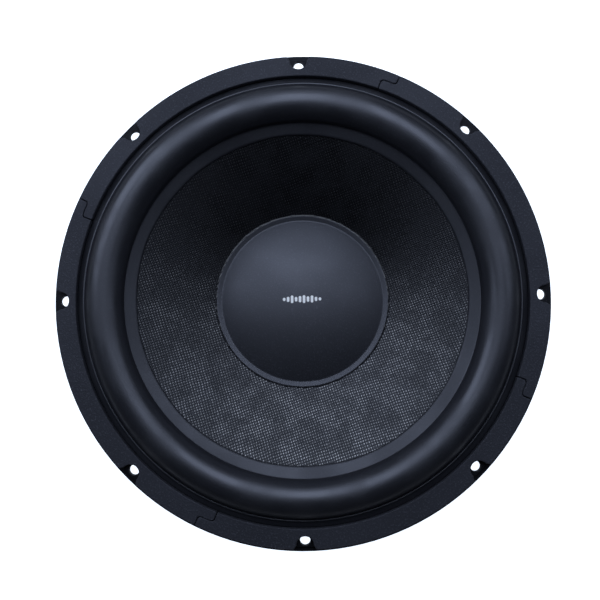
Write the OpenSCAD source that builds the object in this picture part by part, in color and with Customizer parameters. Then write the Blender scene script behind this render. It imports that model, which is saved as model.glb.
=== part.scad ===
// Twelve-inch car subwoofer driver, lying on its magnet with the cone facing up.
// The origin is the centre of the magnet's back face, and +Z runs out of the cone along the axis.
// Bolt holes, frame windows and terminals are counted counterclockwise from +X.

/* [Overall] */
// Diameter over the mounting flange
flange_d = 312; // [290:1:380]
// From the magnet's back face to the flange's rear face
mount_depth = 132; // [128:1:170]

/* [Mounting flange] */
// Thickness of the flange at the bolt holes
flange_t = 3.2; // [2.4:0.1:5]
// Width of the lower rim round the flange
rim_w = 3.1; // [2:0.1:4.5]
// How far the rim lies below the flange's front
rim_drop = 1.6; // [0.8:0.1:2]
// Number of bolt holes
bolt_count = 8; // [4:1:12]
// Diameter of a bolt hole
bolt_hole_d = 6.4; // [4.5:0.1:8]
// From the flange's edge to the middle of a bolt hole
bolt_edge = 7; // [6:0.1:8]

/* [Gasket] */
// Thickness of the gasket
gasket_t = 4.4; // [3:0.1:6]
// Width of the gasket, measured along the radius
gasket_w = 12.7; // [11:0.1:15]
// From the flange's edge to the gasket's edge
gasket_inset = 2.3; // [1:0.1:3]
// Clearance between the gasket and the surround's flange
gasket_clear = 0.3; // [0.1:0.1:0.6]
// Width of the scallop at a bolt hole
scallop_w = 10.8; // [10:0.1:14]
// How far the scallop's round end stays off the bolt hole
scallop_back = 0.3; // [0.1:0.1:0.8]
// How much wider the scallop's mouth is on each side
scallop_flare = 1.7; // [0.5:0.1:3]
// Gap between two segments
seam_gap = 0.3; // [0.1:0.05:0.8]
// Turn between the outer and the inner half of a stepped seam, in degrees
seam_step = 3.8; // [2:0.1:6]

/* [Surround] */
// Groove between the gasket and the surround's lip
groove_w = 3.1; // [2:0.1:5]
// Radius of the surround's lip bead
lip_bead_r = 0.9; // [0.8:0.1:1.2]
// Width of the half roll
roll_w = 24; // [18:0.1:30]
// Thickness of the rubber
rubber_t = 1.1; // [0.8:0.1:1.8]
// Width of the band glued on the cone
glue_band_w = 7.1; // [5:0.1:12]
// Thickness of this band, measured upright
band_t = 1.2; // [0.8:0.1:1.6]

/* [Cone and dust cap] */
// Height of the cone from its neck to its edge
cone_depth = 39.5; // [32:0.5:50]
// Thickness of the cone, measured upright
cone_t = 1.5; // [1:0.1:2.5]
// How far the cone's edge lies below the flange's front
cone_sunk = 0.6; // [0.4:0.1:1.5]
// How far the cone's edge reaches out past the roll's inner wall
cone_under = 0.4; // [0:0.1:0.8]
// Height of the cone's lip down the former
neck_lip = 3; // [2:0.5:5]
// Diameter of the dust cap over its rim
cap_d = 114.4; // [90:0.1:130]
// Width of the dust cap's rim
cap_rim_w = 3.2; // [2:0.1:5]
// Height of the dust cap's dome above its rim
cap_rise = 15; // [8:0.5:22]
// Thickness of the dust cap
cap_t = 1.2; // [0.8:0.1:2]
// Height and width of the bead of glue round the dust cap
glue_bead = 1.3; // [0.8:0.1:2]

/* [Voice coil] */
// Outer diameter of the coil former
coil_d = 63.4; // [50:0.1:77]
// Thickness of the coil former
former_t = 0.5; // [0.4:0.05:0.8]
// Thickness of one layer of winding
winding_t = 0.65; // [0.4:0.05:0.9]
// How far the former stands above the cone's neck
former_above = 3; // [2:0.5:6]
// Former left bare below the windings
former_below = 2; // [1:0.5:3]
// Gap between the pole and the former
pole_gap = 0.45; // [0.35:0.05:0.8]
// Gap between the outer winding and the top plate
coil_gap = 0.65; // [0.4:0.05:1]
// Travel of the cone each way
travel = 12; // [6:0.5:13]
// How far before full travel the windings begin to leave the top plate's gap
coil_short = 1; // [0:0.5:3]

/* [Spider] */
// Outer diameter of the spider
spider_d = 180; // [160:1:216]
// Thickness of the spider's cloth
spider_t = 0.8; // [0.5:0.1:1.2]
// Width of the flat band glued on the frame's ledge
spider_band_w = 15; // [10:0.5:20]
// Width of the plain ring between the former and the first roll
spider_hub_w = 5; // [3:0.5:8]
// Height of the collar glued to the former
spider_collar_h = 4; // [3:0.5:6]
// Number of rolls
spider_rolls = 5; // [3:1:6]
// Height of a roll above and below the cloth's plane
spider_wave = 2.4; // [1.5:0.1:3]
// From the ledge up to the underside of the cone's neck
spider_drop = 12; // [9:0.5:14]

/* [Motor] */
// Diameter of the magnets
magnet_d = 160; // [130:1:194]
// Thickness of one magnet
magnet_t = 18; // [15:0.5:19]
// Hole through the magnets
magnet_hole_d = 87; // [84:1:100]
// Diameter of the top plate and the back plate
plate_d = 150; // [126:1:186]
// Thickness of the back plate
back_plate_t = 8; // [6:0.5:10]
// Thickness of the top plate
top_plate_t = 8; // [6:0.5:10]
// How far the pole stands above the top plate
pole_above = 4; // [0:0.5:8]
// Diameter of the vent through the pole
vent_d = 24; // [16:1:32]
// Bevel on the plates' outer edges
plate_bevel = 1; // [0.5:0.1:2]
// Height of the shorting ring on the back plate
short_ring_h = 8; // [5:0.5:9]
// Width of the shorting ring
short_ring_w = 6; // [4:0.5:7]
// Thickness of the rubber boot's wall
boot_t = 3; // [2:0.5:5]
// How far the boot's lower lip stands off the back plate's rear face
boot_lift = 3.5; // [2:0.5:6]
// Height of the boot's upper lip above the magnets
boot_lip_h = 2.5; // [1.5:0.5:4]

/* [Vent screen] */
// Diameter of the screen
screen_d = 32; // [28:0.5:40]
// Thickness of the screen
screen_t = 0.8; // [0.5:0.1:1.2]
// How deep the screen lies in the back plate
screen_depth = 0.6; // [0.4:0.1:1.5]
// Diameter of one hole in the screen
screen_hole_d = 3; // [2:0.1:3.4]
// Spacing of the holes in the screen
screen_pitch = 4.4; // [4:0.1:6]

/* [Frame body] */
// Thickness of the frame's sheet
sheet_t = 2.4; // [1.6:0.1:3.2]
// How far the cup's floor stays back from the magnetic gap
cup_lip = 6; // [3:0.5:9]
// How far the shelf under the surround reaches in past the roll's outer edge
shelf_in = 3.7; // [2:0.1:6]
// How far the ledge reaches out past the spider's edge
ledge_margin = 9; // [8.5:0.5:11]
// From the spider's last roll out to the ledge's inner edge
ledge_clear = 1; // [0.5:0.1:3]
// Number of arms, and of windows between them
arm_count = 8; // [8:1:8]
// Width of an arm at its foot
arm_w = 17; // [14:1:26]
// Width of the bars that frame the windows above and below
window_bar = 5.6; // [4:0.2:8]
// Corner radius of the windows
window_corner = 6; // [3:0.5:8]
// Width of the pressed rib on each arm
rib_w = 7; // [5:0.5:10]
// How far the ribs stand out
rib_out = 1.6; // [1:0.1:2.5]
// From the ledge up to a rib's foot
rib_foot = 1; // [0.5:0.5:4]
// From a rib's head up to the flange
rib_head = 4; // [2:0.5:8]
// Width of a vent slot in the cup
cup_slot_w = 26; // [16:1:28]
// Height of a vent slot in the cup
cup_slot_h = 12; // [8:1:14]
// Circle of the screws through the cup's floor
screw_circle_d = 120; // [112:1:124]
// Thread diameter of these screws
screw_d = 5; // [4:0.5:6]
// Clearance of the screws in the frame
screw_clear = 0.25; // [0.1:0.05:0.5]
// Diameter of the screws' heads
screw_head_d = 9.2; // [8:0.1:11]
// Height of the screws' heads
screw_head_h = 2.8; // [2:0.1:4]
// Length of the screws below their heads
screw_len = 9; // [7:0.5:9.5]

/* [Terminals] */
// From the spider's edge out to the tab that holds a terminal
tab_gap = 3; // [1:0.5:4]
// Height of the tab above the ledge
tab_h = 22; // [21:0.5:24]
// Width of the tab
tab_w = 46; // [45:1:48]
// Middle of a terminal above the ledge
terminal_up = 13.5; // [13:0.5:14]
// Width of a terminal's base
terminal_w = 44; // [42:1:45]
// Height of a terminal's base
terminal_h = 15; // [14:0.5:15.5]
// Thickness of a terminal's base
terminal_t = 2.5; // [2:0.1:3]
// Spacing of the two posts
post_pitch = 19; // [17:0.5:20]
// Diameter of a push post's stem
post_d = 8; // [7:0.1:8.6]
// Clearance of a stem in its collar, on the radius
post_clear = 0.08; // [0.03:0.01:0.1]
// Wall of a collar round its bore
collar_wall = 2.4; // [2:0.1:2.8]
// Length of a collar
collar_len = 11.5; // [10.5:0.5:13]
// Diameter of a push post's head
post_head_d = 11.2; // [10:0.1:13]
// Length of a push post's head
post_head_len = 4; // [3:0.5:6]
// Travel of a push post
post_travel = 3.2; // [2:0.1:3.4]
// Gap left under the head when the post is pressed home
post_stop_gap = 0.3; // [0.2:0.1:0.6]
// Length of a post's spring at rest
post_spring_len = 5; // [4.5:0.5:5.5]
// Wire diameter of the spring
post_spring_wire = 0.6; // [0.4:0.1:0.8]
// Clearance round the spring in the bore, past the stem's own
spring_clear = 0.3; // [0.2:0.1:0.5]
// Floor of a collar's bore, behind the spring
bore_floor = 1; // [0.8:0.1:1.5]
// Diameter of the hole for the speaker wire
wire_hole_d = 3.2; // [2.4:0.1:3.6]
// Width of a contact strip
contact_w = 4.6; // [3:0.1:5]
// Thickness of a contact strip
contact_t = 0.8; // [0.6:0.1:1]
// Clearance round a contact strip in the tab's slot
contact_clear = 0.5; // [0.3:0.1:0.8]
// How far a contact strip runs past the wire hole
contact_past = 1.2; // [0.8:0.1:1.6]
// How far the contact's lug reaches in behind the tab
lug_len = 9; // [7:0.5:10]
// Diameter of a rivet
rivet_d = 3; // [2.4:0.1:3.2]
// Diameter of a rivet's head
rivet_head_d = 5.6; // [4.5:0.1:6]
// Height of a rivet's head
rivet_head_h = 1.2; // [0.8:0.1:1.6]
// From the edge of the base to a rivet's head
rivet_edge = 0.6; // [0.4:0.1:1]

/* [Leads] */
// Diameter of a tinsel lead
lead_d = 2.2; // [1.6:0.1:2.6]
// From the spider's collar up to the pads
pad_gap = 3; // [1:0.5:5]
// Height of the pads on the former that the leads end on
pad_h = 5; // [4:0.5:6]
// Width of a pad
pad_w = 5; // [4:0.5:6]
// How far a pad stands out from the former
pad_out = 2.4; // [1.8:0.1:3]

/* [Hidden] */
$fn = 96;
over = 1;                   // how far a cutting solid runs past what it cuts
hair = 0.01;                // keeps a cut from ending on the face that it starts from

SIDES = ["right", "left"];
POLES = ["plus", "minus"];

side_turn = [0, 180];       // each terminal's turn round the axis
pole_sign = [1, -1];        // each post's side of its terminal

flange_r = flange_d / 2;
flange_back = mount_depth;
flange_front = mount_depth + flange_t;
bolt_r = flange_r - bolt_edge;

gasket_out = flange_r - gasket_inset;
gasket_in = gasket_out - gasket_w;
gasket_mid = (gasket_out + gasket_in) / 2;
seam_turns = [65.3, 155.1, 244, 335.1];   // where each segment starts, laid by hand

lip_out = gasket_in - groove_w;
roll_out = lip_out - 2 * lip_bead_r;
roll_in = roll_out - roll_w;
roll_r = roll_w / 2;
roll_mid = roll_in + roll_r;
band_in = roll_in - glue_band_w;

former_r = coil_d / 2;
cone_edge = roll_in + rubber_t + cone_under;
cone_edge_z = flange_front - cone_sunk;
neck_z = cone_edge_z - cone_depth;
cone_slope = cone_depth / (cone_edge - former_r);
cap_r = cap_d / 2;
crease_r = cap_r - cap_rim_w;
dome_r = (crease_r * crease_r + cap_rise * cap_rise) / (2 * cap_rise);

motor_z = back_plate_t + 2 * magnet_t;      // rear face of the top plate
motor_top = motor_z + top_plate_t;
plate_r = plate_d / 2;
magnet_r = magnet_d / 2;
pole_r = former_r - former_t - pole_gap;
coil_out = former_r + 2 * winding_t;
gap_r = coil_out + coil_gap;
winding_h = top_plate_t + 2 * (travel - coil_short);
winding_z = motor_z + (top_plate_t - winding_h) / 2;
former_z = winding_z - former_below;

ledge_z = neck_z - neck_lip - spider_drop;  // front of the spider ledge
spider_r = spider_d / 2;
ledge_r = spider_r + ledge_margin;
wave_out = spider_r - spider_band_w;        // where the spider's last roll ends
cup_r = wave_out + ledge_clear;
tab_x = spider_r + tab_gap;
wall_top = roll_out - shelf_in;
wall_run = (wall_top - ledge_r) / (flange_back - ledge_z);
wall_out = sheet_t * sqrt(1 + wall_run * wall_run);     // the wall's thickness, measured level
cup_hole = gap_r + cup_lip;
rib_turn = 2 * asin(rib_w / 2 / ledge_r);               // turn that a rib takes at the arm's foot
terminal_z = ledge_z + terminal_up;
rivet_y = terminal_w / 2 - rivet_head_d / 2 - rivet_edge;
tab_out = tab_x + sheet_t;
collar_r = post_d / 2 + post_clear + collar_wall;
collar_end = terminal_t + collar_len;
stem_in = bore_floor + post_spring_len;
head_in = collar_end + post_travel + post_stop_gap;
wire_x = terminal_t + collar_len / 2;
contact_drop = post_d / 2 + post_clear + collar_wall / 2;
contact_out = wire_x + wire_hole_d / 2 + contact_past;
lug_z = terminal_z - contact_drop;
pad_z = ledge_z + spider_collar_h + pad_gap;

// Height of the cone's front at a radius
function cone_z(r) = cone_edge_z - (cone_edge - r) * cone_slope;

// Radius of the frame wall's inner face at a height
function wall_in(z) = ledge_r + (z - ledge_z) * wall_run;

// Four-sided outline with rounded corners: half widths below and above, heights, corner radius
function rounded(lower, upper, low, high, r, steps = 6) =
    let (corners = [[lower, low], [upper, high], [-upper, high], [-lower, low]], n = len(corners))
    [for (i = [0:n - 1])
        let (p = corners[i], a = corners[(i + n - 1) % n], b = corners[(i + 1) % n],
             u = (a - p) / norm(a - p), v = (b - p) / norm(b - p),
             half = acos(u * v) / 2, mid = (u + v) / norm(u + v),
             c = p + mid * r / sin(half), from = p + u * r / tan(half) - c, to = p + v * r / tan(half) - c,
             start = atan2(from[1], from[0]), raw = atan2(to[1], to[0]) - start,
             sweep = raw > 180 ? raw - 360 : raw < -180 ? raw + 360 : raw)
        for (k = [0:steps]) c + r * [cos(start + sweep * k / steps), sin(start + sweep * k / steps)]];

// Upright ring
module ring(out, in, h) {
    difference() {
        cylinder(r = out, h = h);
        translate([0, 0, -over]) cylinder(r = in, h = h + 2 * over);
    }
}

// Disc with a bevelled rim above and below
module bevelled_disc(r, h, bevel) {
    rotate_extrude()
        polygon([[0, 0], [r - bevel, 0], [r, bevel], [r, h - bevel], [r - bevel, h], [0, h]]);
}

// Children, copied round the axis
module around(count, from = 0) {
    for (i = [0:count - 1]) rotate([0, 0, from + i * 360 / count]) children();
}

// Prism that runs outwards along +X with an outline drawn across it
module outward_prism(from, len) {
    translate([from, 0, 0]) rotate([90, 0, 90]) linear_extrude(len) children();
}

// Moves children into a terminal's own place: +X points out of the frame, from the tab's outer face
module at_terminal(side) {
    rotate([0, 0, side_turn[side]]) translate([tab_out, 0, terminal_z]) children();
}

// Bar along +X at a post's place
module post_bar(pole, r, from, to) {
    translate([from, pole_sign[pole] * post_pitch / 2, 0]) rotate([0, 90, 0]) cylinder(r = r, h = to - from);
}

// Window outline between two arms
module window_outline() {
    low = ledge_z + window_bar;
    high = flange_back - window_bar;
    half_low = wall_in(low) * sin(180 / arm_count) - arm_w / 2;
    half_high = wall_in(high) * sin(180 / arm_count) - arm_w / 2;
    polygon(rounded(half_low, half_high, low, high, window_corner));
}

// Vent slot outline in the cup
module cup_slot_outline() {
    mid = (motor_top + sheet_t + ledge_z - sheet_t) / 2;
    half = cup_slot_w / 2;
    polygon(rounded(half, half, mid - cup_slot_h / 2, mid + cup_slot_h / 2, cup_slot_h / 3));
}

// Pressed steel frame: flange, sloping arms, spider ledge, cup and two terminal tabs
module basket() {
    rib_low = ledge_z + rib_foot;
    rib_high = flange_back - rib_head;
    color("#15171c") difference() {
        union() {
            rotate_extrude() polygon([
                [flange_r, flange_back],
                [flange_r, flange_front - rim_drop],
                [flange_r - rim_w, flange_front - rim_drop],
                [flange_r - rim_w, flange_front],
                [wall_top, flange_front],
                [wall_top, flange_back],
                [ledge_r, ledge_z],
                [cup_r, ledge_z],
                [cup_r, motor_top + sheet_t],
                [cup_hole, motor_top + sheet_t],
                [cup_hole, motor_top],
                [cup_r + sheet_t, motor_top],
                [cup_r + sheet_t, ledge_z - sheet_t],
                [wall_in(ledge_z - sheet_t) + wall_out, ledge_z - sheet_t],
                [wall_top + wall_out, flange_back]]);
            around(arm_count, 180 / arm_count) rotate([0, 0, -rib_turn / 2])
                rotate_extrude(angle = rib_turn) polygon([
                    [wall_in(rib_low) + wall_out / 2, rib_low],
                    [wall_in(rib_high) + wall_out / 2, rib_high],
                    [wall_in(rib_high) + wall_out + rib_out, rib_high - 2 * rib_out],
                    [wall_in(rib_low) + wall_out + rib_out, rib_low + 2 * rib_out]]);
            for (s = [0:1]) rotate([0, 0, side_turn[s]])
                translate([tab_x, -tab_w / 2, ledge_z - sheet_t / 2]) cube([sheet_t, tab_w, tab_h + sheet_t / 2]);
        }
        around(bolt_count) translate([bolt_r, 0, flange_back - over])
            cylinder(d = bolt_hole_d, h = flange_t + 2 * over);
        around(arm_count) outward_prism(tab_out + hair, wall_top) window_outline();
        around(arm_count, 180 / arm_count) outward_prism(cup_r - over, sheet_t + 2 * over) cup_slot_outline();
        around(arm_count, 180 / arm_count) translate([screw_circle_d / 2, 0, motor_top - over])
            cylinder(d = screw_d + 2 * screw_clear, h = sheet_t + 2 * over);
        for (s = [0:1]) at_terminal(s) {
            for (y = [-1, 1]) translate([-sheet_t - over, y * rivet_y, 0]) rotate([0, 90, 0])
                cylinder(d = rivet_d, h = sheet_t + 2 * over);
            for (p = [0:1]) translate([-sheet_t - over, pole_sign[p] * post_pitch / 2 - contact_w / 2 - contact_clear,
                                       -contact_drop - contact_t / 2 - contact_clear])
                cube([sheet_t + 2 * over, contact_w + 2 * contact_clear, contact_t + 2 * contact_clear]);
        }
    }
}

// One gasket segment, from its own seam to the next one
module gasket(i) {
    from = seam_turns[i];
    to = seam_turns[(i + 1) % 4] + (i == 3 ? 360 : 0);
    half_gap = seam_gap / 2 / gasket_mid * 180 / PI;
    big = gasket_out + over;
    color("#2f323c") difference() {
        rotate([0, 0, from + half_gap]) rotate_extrude(angle = to + seam_step - from - 2 * half_gap)
            translate([gasket_in, flange_front]) square([gasket_w, gasket_t]);
        // the inner half starts later, and the outer half ends sooner
        translate([0, 0, flange_front - over]) rotate([0, 0, from - 1])
            rotate_extrude(angle = seam_step + 1 + half_gap)
                translate([gasket_in - over, 0]) square([gasket_w / 2 + over, gasket_t + 2 * over]);
        translate([0, 0, flange_front - over]) rotate([0, 0, to - half_gap])
            rotate_extrude(angle = seam_step + 1)
                translate([gasket_mid, 0]) square([gasket_w / 2 + over, gasket_t + 2 * over]);
        around(bolt_count) translate([0, 0, flange_front - over]) linear_extrude(gasket_t + 2 * over)
            scallop_outline();
    }
}

// Scallop outline at a bolt hole: a round end, and a mouth that widens from there to the gasket's edge
module scallop_outline() {
    r = scallop_w / 2;
    end_mid = bolt_r - bolt_hole_d / 2 - scallop_back + r;
    mouth = r + scallop_flare;
    polygon(concat(
        [for (a = [90:10:270]) [end_mid + r * cos(a), r * sin(a)]],
        [[gasket_out, -mouth], [gasket_out + over, -mouth], [gasket_out + over, mouth], [gasket_out, mouth]]));
}

// Rubber surround: outer flange, lip bead, half roll and the band glued on the cone
module surround() {
    color("#22252c") rotate_extrude() union() {
        translate([roll_out - rubber_t, flange_front])
            square([gasket_in - gasket_clear - roll_out + rubber_t, rubber_t]);
        translate([roll_out + lip_bead_r, flange_front + rubber_t]) circle(r = lip_bead_r);
        intersection() {
            translate([roll_mid, flange_front]) difference() {
                circle(r = roll_r);
                circle(r = roll_r - rubber_t);
            }
            translate([roll_in - over, flange_front]) square([roll_w + 2 * over, roll_w]);
        }
        polygon([
            [band_in, cone_z(band_in)],
            [roll_in + rubber_t, cone_z(roll_in + rubber_t)],
            [roll_in + rubber_t, cone_z(roll_in + rubber_t) + band_t],
            [band_in, cone_z(band_in) + band_t]]);
    }
}

// Straight-sided cone with a short lip down the former
module cone() {
    color("#1b1d22") rotate_extrude() polygon([
        [former_r, cone_z(former_r)],
        [cone_edge, cone_edge_z],
        [cone_edge, cone_edge_z - cone_t],
        [former_r + cone_t, cone_z(former_r + cone_t) - cone_t],
        [former_r + cone_t, neck_z - neck_lip],
        [former_r, neck_z - neck_lip]]);
}

// Domed dust cap with a sloping rim
module dust_cap() {
    dome_z = cone_z(crease_r) + cap_t;
    color("#2a2d35") rotate_extrude() union() {
        intersection() {
            translate([0, dome_z + cap_rise - dome_r]) difference() {
                circle(r = dome_r);
                circle(r = dome_r - cap_t);
            }
            translate([0, dome_z - cap_t]) square([crease_r, cap_rise + cap_t + over]);
        }
        polygon([
            [crease_r - 2 * cap_t, cone_z(crease_r - 2 * cap_t)],
            [cap_r, cone_z(cap_r)],
            [cap_r, cone_z(cap_r) + cap_t],
            [crease_r - 2 * cap_t, cone_z(crease_r - 2 * cap_t) + cap_t]]);
    }
}

// Bead of glue in the corner between the dust cap's edge and the cone
module cap_glue() {
    color("#3b3e46") rotate_extrude() polygon([
        [cap_r, cone_z(cap_r)],
        [cap_r + glue_bead, cone_z(cap_r + glue_bead)],
        [cap_r, cone_z(cap_r) + glue_bead]]);
}

// Tube that carries the windings
module coil_former() {
    color("#8a6a3a") translate([0, 0, former_z]) ring(former_r, former_r - former_t, neck_z + former_above - former_z);
}

// One layer of winding
module coil_winding(layer) {
    color("#b5652b") translate([0, 0, winding_z])
        ring(former_r + (layer + 1) * winding_t, former_r + layer * winding_t, winding_h);
}

// Corrugated cloth suspension
module spider() {
    wave_in = former_r + spider_hub_w;
    steps = spider_rolls * 10;
    line = [for (k = [0:steps])
        [wave_in + (wave_out - wave_in) * k / steps, ledge_z + spider_wave * sin(360 * spider_rolls * k / steps)]];
    color("#b98d4a") rotate_extrude() polygon(concat(
        [[former_r, ledge_z]],
        line,
        [[spider_r, ledge_z], [spider_r, ledge_z + spider_t]],
        [for (k = [steps:-1:0]) line[k] + [0, spider_t]],
        [[former_r + spider_t, ledge_z + spider_t], [former_r + spider_t, ledge_z + spider_collar_h],
         [former_r, ledge_z + spider_collar_h]]));
}

// Front plate of the motor, drilled for the frame's screws
module top_plate() {
    color("#3a3d42") difference() {
        translate([0, 0, motor_z]) bevelled_disc(plate_r, top_plate_t, plate_bevel);
        translate([0, 0, motor_z - over]) cylinder(r = gap_r, h = top_plate_t + 2 * over);
        around(arm_count, 180 / arm_count) translate([screw_circle_d / 2, 0, motor_z - over])
            cylinder(d = screw_d, h = top_plate_t + 2 * over);
    }
}

// Ring magnet
module magnet(level) {
    color("#26272a") translate([0, 0, back_plate_t + level * magnet_t])
        ring(magnet_r, magnet_hole_d / 2, magnet_t);
}

// Back plate and pole in one piece, with the vent through it
module back_plate() {
    pole_top = motor_top + pole_above;
    color("#3a3d42") difference() {
        union() {
            bevelled_disc(plate_r, back_plate_t, plate_bevel);
            translate([0, 0, back_plate_t - over]) cylinder(r = pole_r, h = pole_top - back_plate_t + over);
        }
        translate([0, 0, -over]) cylinder(d = vent_d, h = pole_top + 2 * over);
        translate([0, 0, pole_top - plate_bevel])
            cylinder(r1 = vent_d / 2, r2 = vent_d / 2 + 2 * plate_bevel, h = 2 * plate_bevel);
        translate([0, 0, -over]) cylinder(d = screen_d, h = over + screen_depth + screen_t);
    }
}

// Aluminium ring round the foot of the pole
module shorting_ring() {
    color("#b9bcc0") translate([0, 0, back_plate_t]) ring(pole_r + short_ring_w, pole_r, short_ring_h);
}

// Rubber boot round the magnets
module magnet_boot() {
    low = boot_lift;
    high = motor_z + boot_lip_h;
    out = magnet_r + boot_t;
    color("#141519") rotate_extrude() polygon([
        [plate_r, low + boot_t / 2],
        [plate_r + boot_t / 2, low],
        [out - boot_t / 2, low],
        [out, low + boot_t / 2],
        [out, high - boot_t / 2],
        [out - boot_t / 2, high],
        [plate_r, high],
        [plate_r, motor_z],
        [magnet_r, motor_z],
        [magnet_r, back_plate_t],
        [plate_r, back_plate_t]]);
}

// Perforated screen over the vent's mouth
module vent_screen() {
    reach = 2;              // rings of holes round the middle one
    color("#1b1d20") translate([0, 0, screen_depth]) difference() {
        cylinder(d = screen_d, h = screen_t);
        for (i = [-reach:reach]) for (j = [-reach:reach]) if (abs(i + j) <= reach)
            translate([(i + j / 2) * screen_pitch, j * screen_pitch * sqrt(3) / 2, -over])
                cylinder(d = screen_hole_d, h = screen_t + 2 * over);
    }
}

// Cross-recessed screws that hold the frame to the top plate
module frame_screws() {
    seat = motor_top + sheet_t;
    recess = screw_head_d * 0.55;
    slot = screw_d / 4;
    color("#7c7f84") around(arm_count, 180 / arm_count) translate([screw_circle_d / 2, 0, 0]) difference() {
        union() {
            translate([0, 0, seat - screw_len]) cylinder(d = screw_d, h = screw_len + over);
            translate([0, 0, seat]) cylinder(d = screw_head_d, h = screw_head_h);
        }
        for (a = [0, 90]) rotate([0, 0, a])
            translate([-recess / 2, -slot / 2, seat + screw_head_h / 2]) cube([recess, slot, screw_head_h]);
    }
}

// Pads of solder and glue on the former, where the leads end
module lead_pads() {
    color("#9aa0a6") for (s = [0:1]) for (p = [0:1]) rotate([0, 0, side_turn[s]]) difference() {
        translate([former_r - 3, pole_sign[p] * post_pitch / 2 - pad_w / 2, pad_z])
            cube([3 + pad_out, pad_w, pad_h]);
        translate([0, 0, pad_z - over]) cylinder(r = former_r, h = pad_h + 2 * over);
    }
}

// Moulded terminal: a base and two collars with blind bores, cross holes for the wire and slots for contacts
module terminal_body(side) {
    color("#17181b") at_terminal(side) difference() {
        union() {
            translate([0, -terminal_w / 2, -terminal_h / 2]) cube([terminal_t, terminal_w, terminal_h]);
            for (p = [0:1]) post_bar(p, collar_r, terminal_t / 2, collar_end);
        }
        for (p = [0:1]) post_bar(p, post_d / 2 + post_clear, bore_floor, collar_end + over);
        for (p = [0:1]) translate([wire_x, pole_sign[p] * post_pitch / 2, -collar_r - over])
            cylinder(d = wire_hole_d, h = 2 * (collar_r + over));
        for (p = [0:1]) contact_strip(p, hair, contact_out);
        for (y = [-1, 1]) translate([-over, y * rivet_y, 0]) rotate([0, 90, 0])
            cylinder(d = rivet_d, h = terminal_t + 2 * over);
    }
}

// Flat bar of a contact, between two places along the terminal's own X
module contact_strip(pole, from, to) {
    translate([from, pole_sign[pole] * post_pitch / 2 - contact_w / 2, -contact_drop - contact_t / 2])
        cube([to - from, contact_w, contact_t]);
}

// Contact strips: each runs from its lug through the tab and the base to the wire hole
module terminal_contacts(side) {
    color("#c9a24a") at_terminal(side) for (p = [0:1]) difference() {
        contact_strip(p, -sheet_t - lug_len, contact_out);
        translate([wire_x, pole_sign[p] * post_pitch / 2, -collar_r - over])
            cylinder(d = wire_hole_d, h = collar_r);
    }
}

// Rivets through the base and the tab
module terminal_rivets(side) {
    tail_d = rivet_head_d - 0.6;
    color("#a8abb0") at_terminal(side) for (y = [-1, 1]) translate([0, y * rivet_y, 0]) rotate([0, 90, 0]) {
        translate([0, 0, -sheet_t]) cylinder(d = rivet_d, h = sheet_t + terminal_t);
        translate([0, 0, terminal_t]) cylinder(d1 = rivet_head_d, d2 = rivet_head_d * 0.6, h = rivet_head_h);
        translate([0, 0, -sheet_t - rivet_head_h]) cylinder(d = tail_d, h = rivet_head_h);
    }
}

// Sprung push post: its cross hole meets the collar's when it is pressed home
module push_post(side, pole) {
    cap = post_head_len / 4;
    color(pole == 0 ? "#a01c20" : "#202226") at_terminal(side) difference() {
        union() {
            post_bar(pole, post_d / 2, stem_in, head_in + over);
            post_bar(pole, post_head_d / 2, head_in, head_in + post_head_len - cap);
            translate([head_in + post_head_len - cap, pole_sign[pole] * post_pitch / 2, 0]) rotate([0, 90, 0])
                cylinder(d1 = post_head_d, d2 = post_head_d - 2 * cap, h = cap);
        }
        translate([wire_x + post_travel, pole_sign[pole] * post_pitch / 2, -post_d])
            cylinder(d = wire_hole_d, h = 2 * post_d);
    }
}

// Room that a post's spring takes: a plain sleeve behind the stem
module post_spring(side, pole) {
    out = post_d / 2 - spring_clear;
    color("#8f9296") at_terminal(side) difference() {
        post_bar(pole, out, bore_floor, stem_in);
        post_bar(pole, out - post_spring_wire * 2, bore_floor - over, stem_in + over);
    }
}

// Route of a tinsel lead in its terminal's frame turned to the right: across the travel, then up and down
lead_route = [[0, 0], [3, 0.2], [8, 2.2], [14, 5], [21, 7.2], [28, 7.6], [35, 5.6], [41, 2.4], [46, 0.5], [49.2, 0]];

// Points of a lead, fitted between its lug and its pad
function lead_points(sign) =
    let (start = tab_x - lug_len, end = former_r + pad_out, run = lead_route[len(lead_route) - 1][0],
         low = lug_z, high = pad_z + pad_h / 2)
    [for (q = lead_route) let (t = q[0] / run)
        [start + (end - start) * t, sign * post_pitch / 2, low + (high - low) * t * t * (3 - 2 * t) + q[1]]];

// Tube swept along points that lie in one upright plane
module swept_tube(points, r, sides = 8) {
    n = len(points);
    along = [for (i = [0:n - 1])
        let (d = i == 0 || i == n - 1 ? [-1, 0, 0] : points[i + 1] - points[i - 1]) d / norm(d)];
    rings = [for (i = [0:n - 1]) for (k = [0:sides - 1])
        let (a = 360 * k / sides, up = cross(along[i], [0, 1, 0]))
        points[i] + r * (cos(a) * [0, 1, 0] + sin(a) * up)];
    sheath = [for (i = [0:n - 2]) for (k = [0:sides - 1])
        let (k2 = (k + 1) % sides, a = i * sides)
        for (f = [[a + k, a + k2, a + sides + k2], [a + k, a + sides + k2, a + sides + k]]) f];
    first = [[for (k = [sides - 1:-1:0]) k]];
    last = [[for (k = [0:sides - 1]) (n - 1) * sides + k]];
    polyhedron(points = rings, faces = concat(sheath, first, last), convexity = 4);
}

// Braided lead from a terminal's lug to the former
module tinsel_lead(side, pole) {
    color("#9c8f86") rotate([0, 0, side_turn[side]]) swept_tube(lead_points(pole_sign[pole]), lead_d / 2);
}

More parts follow.
